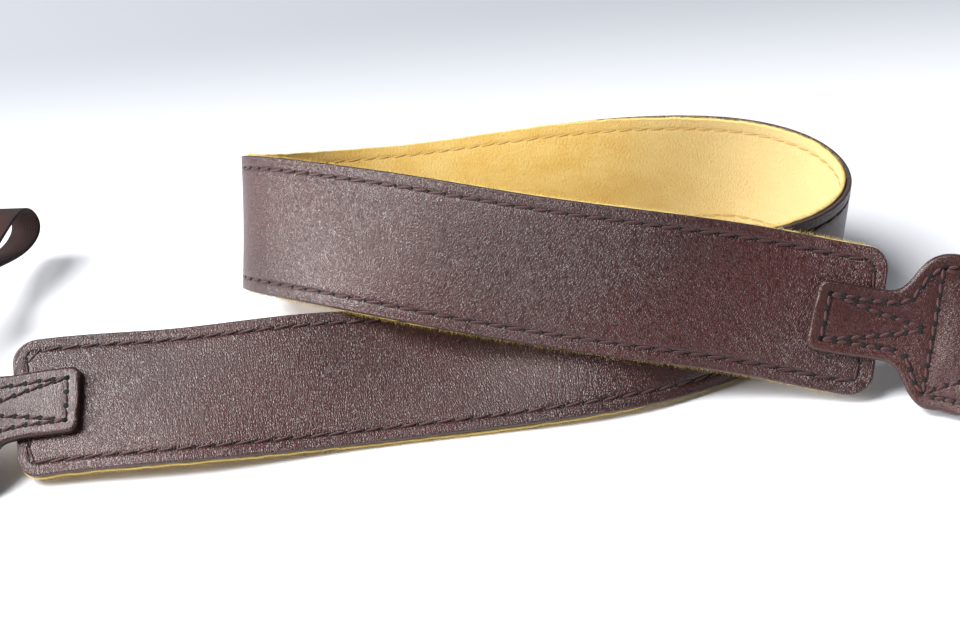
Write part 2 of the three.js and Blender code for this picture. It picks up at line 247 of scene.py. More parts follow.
# %% Camera
ELEVATION, ROLL, DISTANCE = math.radians(33), math.radians(6), 386
LENS, FRAME_WIDTH = 50, 36


def in_scene(name, data):
    made = bpy.data.objects.new(name, data)
    bpy.context.collection.objects.link(made)
    return made


axis = Vector((0, math.cos(ELEVATION), -math.sin(ELEVATION)))
down = Vector((0, -math.sin(ELEVATION), -math.cos(ELEVATION)))
level = Vector((1, 0, 0))
right = level * math.cos(ROLL) + down * math.sin(ROLL)
below = -level * math.sin(ROLL) + down * math.cos(ROLL)
camera_data = bpy.data.cameras.new("camera")
camera_data.lens, camera_data.sensor_width = LENS, FRAME_WIDTH
camera = in_scene("camera", camera_data)
camera_place = (Vector(SHIFT) - axis * DISTANCE) * MM
camera_turn = Matrix((right, -below, -axis)).transposed()
camera.matrix_world = Matrix.Translation(camera_place) @ camera_turn.to_4x4()
bpy.context.scene.camera = camera
print("camera at", [round(c / MM) for c in camera_place], "mm")

# %% [markdown]
# A few small functions serve every material. One turns an sRGB hex value to a linear colour, one
# adds a node with its settings and links, and the others lay patterns over each other. Patterns
# could read Object coordinates, but a looped strap cuts through them in every direction. So they
# read the strap's UV map, in millimetres along and across each piece, and keep their real size.

# %% Shader helpers
SEAM_INSET = 3.5  # millimetres from the cut edge to the seam


def colour(hex_value):
    parts = [int(hex_value[i : i + 2], 16) / 255 for i in (1, 3, 5)]
    linear = [p / 12.92 if p <= 0.04045 else ((p + 0.055) / 1.055) ** 2.4 for p in parts]
    return (*linear, 1)


def add(tree, kind, inputs=None, **settings):
    node = tree.nodes.new(kind)
    for name, value in settings.items():
        setattr(node, name, value)
    for name, value in (inputs or {}).items():
        if isinstance(value, bpy.types.NodeSocket):
            tree.links.new(value, node.inputs[name])
        else:
            node.inputs[name].default_value = value
    return node


def in_cells(tree, along, across):
    """The piece's UV map counted in cells of the given size in millimetres."""
    uv = add(tree, "ShaderNodeUVMap", uv_map="mm").outputs[0]
    cells = {"Vector": uv, "Scale": (1 / along, 1 / across, 1)}
    return add(tree, "ShaderNodeMapping", cells).outputs[0]


def mottled(tree, along, across, detail=2.0, roughness=0.5):
    """Soft blotches about as large as the given cells, from 0 to 1."""
    cells = {"Vector": in_cells(tree, along, across), "Scale": 1.0}
    blotches = {**cells, "Detail": detail, "Roughness": roughness}
    return add(tree, "ShaderNodeTexNoise", blotches).outputs["Fac"]


def tinted(tree, base, tint, pattern, low, high, most=1.0):
    """The base colour with a tint laid over it: none at the pattern's low, most at its high."""
    reach = {"Value": pattern, "From Min": low, "From Max": high, "To Max": most}
    share = add(tree, "ShaderNodeMapRange", reach, interpolation_type="SMOOTHSTEP").outputs[0]
    layers = {0: share, 6: base, 7: colour(tint)}  # inputs 6 and 7 are the Mix node's two colours
    return add(tree, "ShaderNodeMix", layers, data_type="RGBA").outputs[2]


def rim_and_seam(tree):
    """Distances in millimetres from the piece's cut edge and from the seam inside it."""
    rim = add(tree, "ShaderNodeAttribute", attribute_name="rim").outputs["Fac"]
    inward = add(tree, "ShaderNodeMath", {0: rim, 1: SEAM_INSET}, operation="SUBTRACT").outputs[0]
    return rim, add(tree, "ShaderNodeMath", {0: inward}, operation="ABSOLUTE").outputs[0]


def new_material(name, sockets):
    """A material whose shader has the given values, the same all over the surface."""
    material = bpy.data.materials.new(name)
    material.use_nodes = True
    tree = material.node_tree
    shader = tree.nodes["Principled BSDF"]
    for socket, value in sockets.items():
        shader.inputs[socket].default_value = value
    return material, tree, shader


def finish(tree, shader, base, height, depth):
    """Gives the shader its colour and a relief of the given depth in millimetres."""
    tree.links.new(base, shader.inputs["Base Color"])
    bump = add(tree, "ShaderNodeBump", {"Height": height, "Distance": depth * MM, "Strength": 1.0})
    tree.links.new(bump.outputs[0], shader.inputs["Normal"])

# %% [markdown]
# The band is drummed cowhide: pebbles of about half a millimetre, drawn out across the width, with
# fine wrinkles and smoother patches. The colour drifts between a cool and a red brown, the creases
# are polished, and the leather is grey-brown at its cut edge. Painted shade darkens the valleys
# between the pebbles and the groove along the seam. A scanned hide could be wrapped round the
# band, but would repeat and stretch. Voronoi cells meet in valleys as real pebbles do, at any
# length. The connectors have a closer, shallower grain.

# %% Grain leather
VALLEY = 0.28  # how far a valley's wall reaches into its pebble, as a share of a cell
PUSH = 0.7  # how far soft noise pushes the cells off their net, in cells
FINE_SHARE = 0.35  # the fine wrinkles' part in the relief
POLISH = 0.08  # how much smoother a raised crease is, and how much rougher a hollow


def leather(name, cool, red, worn, edge, pebble, crease_share, depth, rough):
    """Colours as hex values, a pebble's size along and across and the depth in millimetres."""
    material, tree, shader = new_material(name, {"Specular IOR Level": 0.55, "Sheen Weight": 0.03})
    along, across = pebble
    pushed = {0: mottled(tree, 3.0, 3.0), 1: (PUSH, PUSH, 0), 2: in_cells(tree, along, across)}
    net = add(tree, "ShaderNodeVectorMath", pushed, operation="MULTIPLY_ADD").outputs[0]
    cells = {"Vector": net, "Scale": 1.0}
    pebbles = add(tree, "ShaderNodeTexVoronoi", cells, feature="DISTANCE_TO_EDGE")
    wall = {"Value": pebbles.outputs["Distance"], "From Max": VALLEY}
    rise = add(tree, "ShaderNodeMapRange", wall, interpolation_type="SMOOTHSTEP").outputs[0]
    crease = mottled(tree, along * 1.2, across * 5, detail=4.0, roughness=0.6)
    fine = mottled(tree, along * 0.45, across * 0.4)
    creased = {0: crease, 1: crease_share, 2: rise}
    height = add(tree, "ShaderNodeMath", creased, operation="MULTIPLY_ADD").outputs[0]
    wrinkled = {0: fine, 1: FINE_SHARE, 2: height}
    height = add(tree, "ShaderNodeMath", wrinkled, operation="MULTIPLY_ADD").outputs[0]
    patches = {"Value": mottled(tree, 40, 22), "From Min": 0.38, "From Max": 0.6, "To Min": 0.78}
    smoothed = add(tree, "ShaderNodeMapRange", patches).outputs[0]
    height = add(tree, "ShaderNodeMath", {0: height, 1: smoothed}, operation="MULTIPLY").outputs[0]
    rim, seam = rim_and_seam(tree)
    base = tinted(tree, colour(cool), red, mottled(tree, 70, 60), 0.3, 0.7)
    base = tinted(tree, base, worn, crease, 0.5, 0.8, most=0.35)
    # Painted shade in the valleys between the pebbles.
    base = tinted(tree, base, "#100808", rise, 0.55, 0.0, most=0.6)  # the valleys
    # Painted shade in the groove along the seam.
    base = tinted(tree, base, "#1a0e0d", seam, 0.7, 0.35, most=0.75)  # along the seam
    base = tinted(tree, base, edge, rim, 0.5, 0.2)
    worn_smooth = {"Value": crease, "From Min": 0.3, "From Max": 0.75}
    gloss = {**worn_smooth, "To Min": rough + POLISH, "To Max": rough - POLISH}
    tree.links.new(add(tree, "ShaderNodeMapRange", gloss).outputs[0], shader.inputs["Roughness"])
    finish(tree, shader, base, height, depth)
    return material


grain_leather = leather(
    "grain_leather",
    cool="#3c2120",
    red="#4b211e",
    worn="#653c36",
    edge="#382826",
    pebble=(0.5, 0.78),
    crease_share=1.6,
    depth=0.085,
    rough=0.33,
)
smooth_leather = leather(
    "smooth_leather",
    cool="#3d1f1c",
    red="#4b2420",
    worn="#6b423c",
    edge="#2c1715",
    pebble=(0.42, 0.55),
    crease_share=1.0,
    depth=0.045,
    rough=0.3,
)
print("leathers", grain_leather.name, smooth_leather.name)

# %% [markdown]
# The lining is yellow split suede. Its nap has no shine of its own and catches light at grazing
# angles, which is what the Sheen sockets are for. Hairs could draw the nap, but from here only its
# mottling shows, so noise does, drawn a little coarser than the real nap. Near where the band turns
# back on itself the suede is painted almost cream, partly for the brushed nap and partly as painted
# sheen. Painted shade darkens the dimple along the seam. Real fibres come later, along the cut
# edges.

# %% Suede lining
TURN_AT = np.interp(knots[TURN_MARK], fine_knots, lengths)
# Distances from the turn where the brushed nap and its painted sheen start and are full.
BRUSHED_SHEEN_FAR, BRUSHED_SHEEN_NEAR = 80, 15  # distances from the turn where the brushing starts and is full


def suede():
    dull = {"Roughness": 0.95, "Specular IOR Level": 0.1}
    sheen = {"Sheen Weight": 0.35, "Sheen Roughness": 0.6, "Sheen Tint": colour("#fff0c8")}
    material, tree, shader = new_material("suede_lining", {**dull, **sheen})
    nap = mottled(tree, 0.7, 0.9, detail=5.0, roughness=0.7)
    rim, seam = rim_and_seam(tree)
    along = add(tree, "ShaderNodeSeparateXYZ", {0: in_cells(tree, 1, 1)}).outputs[0]
    past = add(tree, "ShaderNodeMath", {0: along, 1: TURN_AT}, operation="SUBTRACT").outputs[0]
    from_turn = add(tree, "ShaderNodeMath", {0: past}, operation="ABSOLUTE").outputs[0]
    rubbed = mottled(tree, 14, 9, detail=5.0, roughness=0.65)
    base = tinted(tree, colour("#c29a48"), "#d0b36e", rubbed, 0.2, 0.8)
    # Painted sheen, with brushed nap, paler towards the turn.
    base = tinted(tree, base, "#cdbb8a", from_turn, BRUSHED_SHEEN_FAR, BRUSHED_SHEEN_NEAR, most=0.7)
    base = tinted(tree, base, "#b48c3c", nap, 0.45, 0.25, most=0.6)
    # Painted shade in the dimple along the seam.
    base = tinted(tree, base, "#b08a44", seam, 0.9, 0.0, most=0.3)
    base = tinted(tree, base, "#dcc078", rim, 0.5, 0.1)
    finish(tree, shader, base, nap, 0.4)
    return material


suede_lining = suede()
fluff = {"Roughness": 0.9, "Sheen Weight": 0.3, "Base Color": colour("#e4c463")}
suede_fibre = new_material("suede_fibre", fluff)[0]
print("suede", suede_lining.name, suede_fibre.name)

# %% [markdown]
# The thread is thick waxed polyester in a red-brown on the leather, and ochre where it comes
# through the suede. It sinks into round awl holes, each drawn as a black bead of painted shade. Its
# plies could be twisted from curves, but a stitch is less than a millimetre thick, so a diagonal
# wave does, half a millimetre long, with stripes of painted shade between the plies. The wax makes
# it half glossy.

# %% Thread and holes
TWIST = 0.5


def thread(name, hex_value, ply_shade):
    material, tree, shader = new_material(name, {"Roughness": 0.42, "Sheen Weight": 0.1})
    where = add(tree, "ShaderNodeTexCoord").outputs["Object"]
    plies = {"Vector": where, "Scale": 1 / (TWIST * MM)}
    twist = add(tree, "ShaderNodeTexWave", plies, bands_direction="DIAGONAL").outputs["Fac"]
    # Painted shade between the plies, in stripes along the twist.
    base = tinted(tree, colour(hex_value), ply_shade, twist, 0.0, 1.0, most=0.5)
    finish(tree, shader, base, twist, 0.06)
    return material


leather_thread = thread("leather_thread", "#4b2423", "#1e0d0d")
suede_thread = thread("suede_thread", "#c09a50", "#8a6c34")
# A flat black bead stands for the shade inside an awl hole: painted shade.
awl_hole_shade = new_material("awl_hole_shade", {"Roughness": 0.9, "Base Color": colour("#0a0505")})[0]
print("threads", leather_thread.name, suede_thread.name)

# %% [markdown]
# Camera webbing is a dense plain weave of nylon. Its picks show as short ribs across the width,
# about half a millimetre apart, staggered between the lengthways ends. It could be woven from
# curves, but that is thousands of tiny tubes on a 10 mm strap, so the product of two sine waves
# draws the over and under, with painted shade where the weave dips. The slider is moulded acetal
# with a fine satin texture.

# %% Webbing and slider materials
END_WIDTH, PICK_LENGTH = 0.55, 0.6
SATIN_GRAIN = 0.6


def webbing_cloth():
    dull = {"Roughness": 0.75, "Specular IOR Level": 0.25, "Sheen Weight": 0.05}
    material, tree, shader = new_material("woven_webbing", dull)
    half_waves = in_cells(tree, PICK_LENGTH / math.pi, END_WIDTH / math.pi)
    places = add(tree, "ShaderNodeSeparateXYZ", {0: half_waves})
    end_wave = add(tree, "ShaderNodeMath", {0: places.outputs[1]}, operation="SINE").outputs[0]
    end_side = add(tree, "ShaderNodeMath", {0: end_wave}, operation="SIGN").outputs[0]
    stagger = {0: end_side, 1: math.pi / 4, 2: places.outputs[0]}
    staggered = add(tree, "ShaderNodeMath", stagger, operation="MULTIPLY_ADD").outputs[0]
    pick_wave = add(tree, "ShaderNodeMath", {0: staggered}, operation="SINE").outputs[0]
    crossing = {0: pick_wave, 1: end_wave}
    weave = add(tree, "ShaderNodeMath", crossing, operation="MULTIPLY").outputs[0]
    bulge = add(tree, "ShaderNodeMath", {0: weave}, operation="ABSOLUTE").outputs[0]
    filaments = {0: mottled(tree, 0.3, 0.2, detail=3.0), 1: 0.3, 2: bulge}
    height = add(tree, "ShaderNodeMath", filaments, operation="MULTIPLY_ADD").outputs[0]
    base = tinted(tree, colour("#2b1715"), "#40201d", mottled(tree, 12, 8), 0.35, 0.65)
    # Painted shade where the weave dips between the picks.
    base = tinted(tree, base, "#0e0707", height, 0.6, 0.1)
    finish(tree, shader, base, height, 0.18)
    return material


def moulded_plastic():
    material, tree, shader = new_material("moulded_plastic", {})
    where = add(tree, "ShaderNodeTexCoord").outputs["Object"]
    cells = {"Vector": where, "Scale": 1 / (SATIN_GRAIN * MM), "Detail": 3.0}
    grain = add(tree, "ShaderNodeTexNoise", cells).outputs["Fac"]
    satin = {"Value": grain, "From Min": 0.3, "From Max": 0.7, "To Min": 0.34, "To Max": 0.5}
    tree.links.new(add(tree, "ShaderNodeMapRange", satin).outputs[0], shader.inputs["Roughness"])
    finish(tree, shader, tinted(tree, colour("#1f1412"), "#2b1c19", grain, 0.3, 0.7), grain, 0.03)
    return material


woven_webbing = webbing_cloth()
slider_plastic = moulded_plastic()
print("materials", len(bpy.data.materials))

# %% [markdown]
# Every flat layer is a skin: rings of points swept along the line. A curve with a bevel object
# could sweep it, but gives little say in where its points lie. Here each ring runs over the back
# and returns over the face, with more points near the edges, so that the edge can be rounded and a
# seam can sink in. The helper also stores the UV map in millimetres and the distance to the edge.

# %% The skin of a layer
EDGE_INSETS = [0, 0.1, 0.25, 0.45, 0.7, 1.0, 1.3, 1.8, 2.5]
SEAM_INSETS = [3.0, 3.25, 3.5, 3.75, 4.0, 4.6]
INNER_INSETS = [6, 8, 10.5, 13, 16, 19]
INSETS = np.array(EDGE_INSETS + SEAM_INSETS + INNER_INSETS)
MIDDLE_GAP = 0.4


def shares_across(half):
    """Places across a strip from -1 to 1, close together near both edges."""
    right_half = 1 - INSETS[INSETS < half - MIDDLE_GAP] / half
    return np.concatenate([-right_half, [0], right_half[::-1]])


def skin(name, grid, uv, rims, material):
    """grid: rows x ring x 3 in millimetres, the rings in order along the strap."""
    rows, ring_size = grid.shape[:2]
    corners = (grid.reshape(-1, 3) + SHIFT) * MM
    index = np.arange(rows * ring_size).reshape(rows, ring_size)
    first, second = index[:-1], index[1:]
    quads = np.stack([first, np.roll(first, -1, 1), np.roll(second, -1, 1), second], axis=-1)
    caps = []
    for row, flip in ((index[0], True), (index[-1], False)):
        back, face = row[: ring_size // 2], row[ring_size // 2 :][::-1]
        strip = np.stack([back[:-1], back[1:], face[1:], face[:-1]], axis=-1)
        caps.append(strip[:, ::-1] if flip else strip)
    faces = np.concatenate([quads.reshape(-1, 4), *caps])
    mesh = bpy.data.meshes.new(name)
    mesh.from_pydata(corners.tolist(), [], faces.tolist())
    layer = mesh.uv_layers.new(name="mm")
    layer.data.foreach_set("uv", uv.reshape(-1, 2)[faces.ravel()].astype(np.float32).ravel())
    rim = mesh.attributes.new("rim", "FLOAT", "POINT")
    rim.data.foreach_set("value", rims.ravel().astype(np.float32))
    mesh.shade_smooth()
    mesh.materials.append(material)
    return in_scene(name, mesh)


def ring(back, face):
    """Rings that run over the back and return over the face."""
    return np.concatenate([back, face[:, ::-1]], axis=1)


def layer_skin(name, frames, along, across, back, face, edge, material):
    """A skin between two faces: across, back, face and edge are rows x places across."""
    middle, across_axis, out_axis = (part[:, None] for part in frames)
    ring_across, ring_out = ring(across, across), ring(back, face)
    grid = middle + ring_across[..., None] * across_axis + ring_out[..., None] * out_axis
    uv = np.stack([np.broadcast_to(along[:, None], ring_across.shape), ring_across], axis=-1)
    return skin(name, grid, uv, ring(edge, edge), material)


def rounded(distance, radius, least=0.3):
    """The share of a layer's full thickness at a distance from its cut edge."""
    inside = np.clip(1 - distance / radius, 0, 1)
    return np.maximum(np.sqrt(1 - inside**2), least)

# %% [markdown]
# The band's two layers are long strips with rounded corners. Solidify and Bevel could make them
# from a flat strip, but not sink a seam into it, so each point's height follows from its distance
# to the cut edge: rounded there, a faint crease next to it, and a groove along the seam. Both
# layers share a slow wave, because soft leather never lies in a perfect curve.

# %% The band
NEAR_END, FIRST_ROW = 7, 7.5  # where the close rows of an end stop, and the even ones start
SEAM_WIDTH, CREASE_INSET, CREASE_WIDTH = 0.5, 1, 0.25
WAVE_HEIGHT, SWAY, DRIFT, RIPPLE, SKEW = 0.12, 19, 43, 8.3, 9
RAGGED_SEED = 7
LINING_PROUD = 0.15  # how far the suede stands out past the leather


def end_rows(start, end, step):
    """Places of the rows, close together near both ends."""
    close = INSETS[INSETS < NEAR_END]
    middle = np.arange(start + FIRST_ROW, end - NEAR_END, step)
    return np.concatenate([start + close, middle, end - close[::-1]])


def band_rim(at, across, start, end, width, corner):
    """Distance from the outline of a strip with round corners, inwards."""
    past = np.abs(at - (start + end) / 2) - ((end - start) / 2 - corner)
    beside = np.abs(across) - (width / 2 - corner)
    outside = np.hypot(np.maximum(past, 0), np.maximum(beside, 0))
    return corner - outside - np.minimum(np.maximum(past, beside), 0)


def slow_wave(at, across):
    """How far the band sways from a perfect curve, most near its edges."""
    long_wave = np.sin(at / SWAY + 1.1 * np.sin(at / DRIFT))
    along = long_wave + 0.5 * np.sin(at / RIPPLE + across / SKEW)
    return WAVE_HEIGHT * along * (0.4 + (across / (BAND_WIDTH / 2)) ** 2)


def band_layer(name, inset, low, high, material, step, ragged, seam_depth, crease, radius):
    start, end = LEFT_END + inset, RIGHT_END - inset
    width, corner = BAND_WIDTH - 2 * inset, BAND_CORNER - inset
    at = end_rows(start, end, step)
    chance = np.random.default_rng(RAGGED_SEED).uniform(-1, 1, len(at))
    rough_edge = ragged * np.convolve(chance, [0.25, 0.5, 0.25], "same")
    half = width / 2 - corner_loss(at, start, end, corner) + rough_edge
    share = shares_across(BAND_WIDTH / 2)
    across = half[:, None] * share
    along = np.broadcast_to(at[:, None], across.shape)
    unfrayed = across - rough_edge[:, None] * share
    edge = np.maximum(band_rim(along, unfrayed, start, end, width, corner), 0)
    body = (high - low) / 2 * rounded(edge, radius)
    back, face = (high + low) / 2 - body, (high + low) / 2 + body
    seam = seam_depth * np.exp(-(((edge - SEAM_INSET) / SEAM_WIDTH) ** 2))
    sunk = seam + crease * np.exp(-(((edge - CREASE_INSET) / CREASE_WIDTH) ** 2))
    if low < 0:  # the suede's open side is its back
        back = back + sunk
    else:
        face = face - sunk
    sway = slow_wave(along, across)
    frames = frames_at(at)[:3]
    return layer_skin(name, frames, at, across, back + sway, face + sway, edge, material)


band_skin = band_layer(
    "band_leather_skin",
    inset=0,
    low=LEATHER_BACK,
    high=LEATHER_FACE,
    material=grain_leather,
    step=1.6,
    ragged=0,
    seam_depth=0.34,
    crease=0.07,
    radius=0.5,
)
lining_skin = band_layer(
    "band_lining_skin",
    inset=-LINING_PROUD,
    low=LINING_BACK,
    high=LINING_FACE,
    material=suede_lining,
    step=0.9,
    ragged=0.22,
    seam_depth=0.18,
    crease=0,
    radius=0.3,
)
print("band faces", len(band_skin.data.polygons), len(lining_skin.data.polygons))

# %% [markdown]
# A connector is cut from smooth, firmer leather: a narrow tongue on the band, shoulders as wide as
# the band, and a tail that narrows to the webbing. Its body is padded, so it swells between the
# seams and wrinkles a little. Sculpting could swell it, but a height function follows the seams
# exactly, and the same function carries the stitches later.

# %% The connectors
OUTLINE = [  # share of the length from the tongue's tip, half the width there
    (0, TONGUE_WIDTH / 2),
    (0.16, TONGUE_WIDTH / 2),
    (0.3, TONGUE_WIDTH / 2),
    (0.365, SHOULDER_WIDTH * 0.285),
    (0.415, SHOULDER_WIDTH * 0.41),
    (0.47, SHOULDER_WIDTH * 0.49),
    (0.6, SHOULDER_WIDTH / 2),
    (0.72, SHOULDER_WIDTH * 0.49),
    (0.88, (SHOULDER_WIDTH + TAIL_WIDTH) * 0.23),
    (1, TAIL_WIDTH / 2),
]
# Share of the length, share of the crown's height there
SWELL = [(0, 0), (0.5, 0), (0.56, 0.25), (0.7, 1), (0.9, 0.9), (1, 0.85)]
outline = spline([row[0] * CONNECTOR_LENGTH for row in OUTLINE], [[row[1]] for row in OUTLINE])
swell = spline([row[0] * CONNECTOR_LENGTH for row in SWELL], [[row[1] * CROWN] for row in SWELL])
CROSS_SEAM, EDGE_SEAM, TAIL_SEAM = 30.0, 3.2, 2.5  # from the tip, the edges and the tail's end
TONGUE_V, BODY_V = [27.0, 0.6], [53.0, 4.6]  # where the legs of each V end
EDGE_POINTS, SEAM_POINTS, TIP_POINTS = 240, 60, 12
SEAM_STEP = 0.6


def half_width(at):
    at = np.asarray(at, float)
    tip = np.maximum(TONGUE_CORNER - at, 0)
    loss = TONGUE_CORNER - np.sqrt(np.maximum(TONGUE_CORNER**2 - tip**2, 0))
    return outline(at.ravel()).reshape(at.shape) - loss


def distance_to(line, at, across):
    best = np.full(at.shape, np.inf)
    for x, y in line:
        best = np.minimum(best, np.hypot(at - x, across - y))
    return best


def end_line(at, half):
    return np.stack([np.full(TIP_POINTS, at), np.linspace(-half, half, TIP_POINTS)], axis=1)


mirror = np.array([1, -1])
edge_at = np.linspace(0, CONNECTOR_LENGTH, EDGE_POINTS)
side = np.stack([edge_at, half_width(edge_at)], axis=1)
ends = [end_line(*side[0]), end_line(*side[-1])]
EDGE_LINE = np.concatenate([ends[0], side, side * mirror, ends[1]])


def seam_along(points, pitch):
    """Places about every pitch along a bent line, with both its ends."""
    points = np.asarray(points, float)
    run = np.concatenate([[0], np.cumsum(np.linalg.norm(np.diff(points, axis=0), axis=1))])
    at = np.linspace(0, run[-1], max(2, round(run[-1] / pitch)) + 1)
    return np.stack([np.interp(at, run, points[:, k]) for k in (0, 1)], axis=1)


def edge_seam(start, end):
    """The seam beside one edge, the same distance inside it all along."""
    at = np.linspace(start, end, SEAM_POINTS)
    slope = np.gradient(half_width(at), at)
    return np.stack([at, half_width(at) - EDGE_SEAM / np.cos(np.arctan(slope))], axis=1)


tongue_side = edge_seam(EDGE_SEAM, CROSS_SEAM)
body_side = edge_seam(CROSS_SEAM, CONNECTOR_LENGTH - TAIL_SEAM)
tip_corner, shoulder_corner = tongue_side[0], tongue_side[-1]
SEAMS = [np.array([tip_corner * mirror, tip_corner]), tongue_side, tongue_side * mirror]
SEAMS.append(np.array([shoulder_corner * mirror, shoulder_corner]))
tongue_leg, body_leg = np.array([tip_corner, TONGUE_V]), np.array([shoulder_corner, BODY_V])
for line in (tongue_leg, body_side, body_leg):
    SEAMS.extend([line, line * mirror])
SEWN_PLACES = np.concatenate([seam_along(line, SEAM_STEP) for line in SEAMS])

# %% [markdown]
# The face of the leather rises over the webbing inside, is pulled down in a groove at every seam,
# and puffs up between them. Each of these is one term of the height, with its size in millimetres
# named first, so it can be changed by itself.

# %% The connectors' faces
FACE_DROP = 0.15  # how far the leather is pressed below its flat thickness
CROWN_POWER = 2.6  # how square the rise over the webbing is
PUFF_REACH, TONGUE_PUFF, BODY_PUFF = 3.2, 0.12, 0.45
WRINKLE, GROOVE, GROOVE_WIDTH = 0.1, 0.16, 0.45
NEAR_TIP, NEAR_TAIL, CONNECTOR_STEP = 3.4, 3.2, 0.7
LIP_RADIUS, BACK_RADIUS, BACK_LIFT = 1.0, 0.5, 0.25


def connector_top(at, across):
    """Height of the connector's face at places given from its tongue's tip and its middle."""
    at, across = np.asarray(at, float), np.asarray(across, float)
    share = np.clip(np.abs(across) / half_width(at), 0, 1)
    crown = np.maximum(swell(at.ravel()).reshape(at.shape), 0) * (1 - share**CROWN_POWER)
    seam = distance_to(SEWN_PLACES, at, across)
    padded = 1 / (1 + np.exp(-(at - CROSS_SEAM - 1.5)))
    puff = (1 - np.exp(-((seam / PUFF_REACH) ** 2))) * (TONGUE_PUFF + BODY_PUFF * padded)
    folds = np.sin(across * 0.9 + 2 * np.sin(at / 5)) * np.sin(at / 2.3 + across / 6)
    groove = GROOVE * np.exp(-((seam / GROOVE_WIDTH) ** 2))
    return CONNECTOR_FACE - FACE_DROP + crown + puff + WRINKLE * padded * folds - groove


def connector_skin(name, tip, way):
    near = INSETS[INSETS < 3]
    rows = np.arange(NEAR_TIP, CONNECTOR_LENGTH - NEAR_TAIL, CONNECTOR_STEP)
    from_tip = np.concatenate([near, rows, CONNECTOR_LENGTH - near[::-1]])
    across = half_width(from_tip)[:, None] * shares_across(BAND_WIDTH / 2)
    at = np.broadcast_to(from_tip[:, None], across.shape)
    edge = distance_to(EDGE_LINE, at, across)
    edge[:, [0, -1]] = 0
    edge[[0, -1]] = 0
    thickness = connector_top(at, across) - CONNECTOR_BACK
    face = CONNECTOR_BACK + thickness * (0.45 + 0.55 * rounded(edge, LIP_RADIUS, 0))
    back = CONNECTOR_BACK + BACK_LIFT * (1 - rounded(edge, BACK_RADIUS, 0))
    across, back, face, edge, along = (part[::way] for part in (across, back, face, edge, from_tip))
    frames = frames_at(tip + way * along)[:3]
    return layer_skin(name, frames, along, across, back, face, edge, smooth_leather)


# Which way each side runs along the line, where its band ends, and where the line ends there
SIDES = {"left": (-1, LEFT_END, 0.0), "right": (1, RIGHT_END, TRACK_LENGTH)}
TIPS = {name: band_end - way * TONGUE_OVERLAP for name, (way, band_end, _) in SIDES.items()}
connector_skins = {
    name: connector_skin("connector_" + name + "_skin", TIPS[name], way)
    for name, (way, _, _) in SIDES.items()
}
print("connector faces", [len(piece.data.polygons) for piece in connector_skins.values()])

# %% [markdown]
# The webbing starts inside the connector, runs to the fold, turns round what it holds, and comes
# back over itself through the slider. Cloth physics could lay it, but the fold would land elsewhere
# with every change of a size. So its frames follow the line out, a small spline round the fold and
# the line back. It climbs a little over the slider's middle bar.

# %% The webbing
BIGHT = [  # ahead and up, as shares of the fold's length and height
    (0, 0),
    (0.4, 0.02),
    (0.78, 0.14),
    (1, 0.52),
    (0.8, 0.93),
    (0.4, 0.62),
    (0, RETURN_HEIGHT / BIGHT_HEIGHT),
]
FOLD_STEPS = 60
WEBBING_STEP = 1.2
WEBBING_INSETS = np.array([0, 0.12, 0.3, 0.6, 1.0, 1.8, 3.0])
SELVEDGE, SELVEDGE_WIDTH, SELVEDGE_DEPTH = 1.2, 0.3, 0.06


def evenly(start, end, step):
    return np.linspace(start, end, max(1, round(abs(end - start) / step)) + 1)


def hump(share):
    return np.where(share < 1, (1 + np.cos(np.pi * share)) / 2, 0)


def strand_frames(end, way, tail):
    """The webbing's frames from the connector to the fold, round it and back."""
    root, root_across, root_out, root_forward = (part[0] for part in frames_at(end))
    main = frames_at(evenly(tail - way * WEBBING_SEAT, end, WEBBING_STEP))[:3]
    bight = spline(np.linspace(0, 1, len(BIGHT)), np.array(BIGHT) * [BIGHT_LENGTH, BIGHT_HEIGHT])
    share = np.arange(1, FOLD_STEPS) / FOLD_STEPS

    def fold_point(at):
        ahead, rise = bight(at).T
        up = (WEBBING_MIDDLE + rise)[:, None] * root_out
        return root + up + (way * ahead)[:, None] * root_forward

    half_step = 0.5 / FOLD_STEPS
    run = unit(fold_point(share + half_step) - fold_point(share - half_step)) * way
    fold_out = np.cross(run, root_across)
    fold_across = np.broadcast_to(root_across, fold_out.shape)
    fold = (fold_point(share) - WEBBING_MIDDLE * fold_out, fold_across, fold_out)
    back_at = evenly(end, end - way * TAIL_LENGTH, WEBBING_STEP)
    back_middle, back_across, back_out, _ = frames_at(back_at)
    from_slider = np.abs(back_at - end + way * SLIDER_DISTANCE)
    climb = BAR_CLIMB * hump(from_slider / (SLIDER_LENGTH / 2))
    lifted = back_middle + (2 * WEBBING_MIDDLE + RETURN_HEIGHT + climb)[:, None] * back_out
    back = (lifted, back_across, -back_out)
    return [np.concatenate(parts)[::way] for parts in zip(main, fold, back)]


def webbing_skin(name, end, way, tip):
    frames = strand_frames(end, way, tip + way * CONNECTOR_LENGTH)
    centre = frames[0] + WEBBING_MIDDLE * frames[2]
    along = np.concatenate([[0], np.cumsum(np.linalg.norm(np.diff(centre, axis=0), axis=1))])
    half = WEBBING_WIDTH / 2
    right_half = 1 - WEBBING_INSETS / half
    share = np.concatenate([-right_half, [0], right_half[::-1]])
    across = np.broadcast_to(half * share, (len(along), len(share)))
    edge = half - np.abs(across)
    selvedge = SELVEDGE_DEPTH * np.exp(-(((edge - SELVEDGE) / SELVEDGE_WIDTH) ** 2))
    body = WEBBING / 2 * rounded(edge, 0.5) * (1 - selvedge)
    back, face = WEBBING_MIDDLE - body, WEBBING_MIDDLE + body
    return layer_skin(name, frames, along, across, back, face, edge, woven_webbing)


webbing_skins = {
    name: webbing_skin("webbing_" + name + "_skin", end, way, TIPS[name])
    for name, (way, _, end) in SIDES.items()
}
print("webbing faces", [len(piece.data.polygons) for piece in webbing_skins.values()])

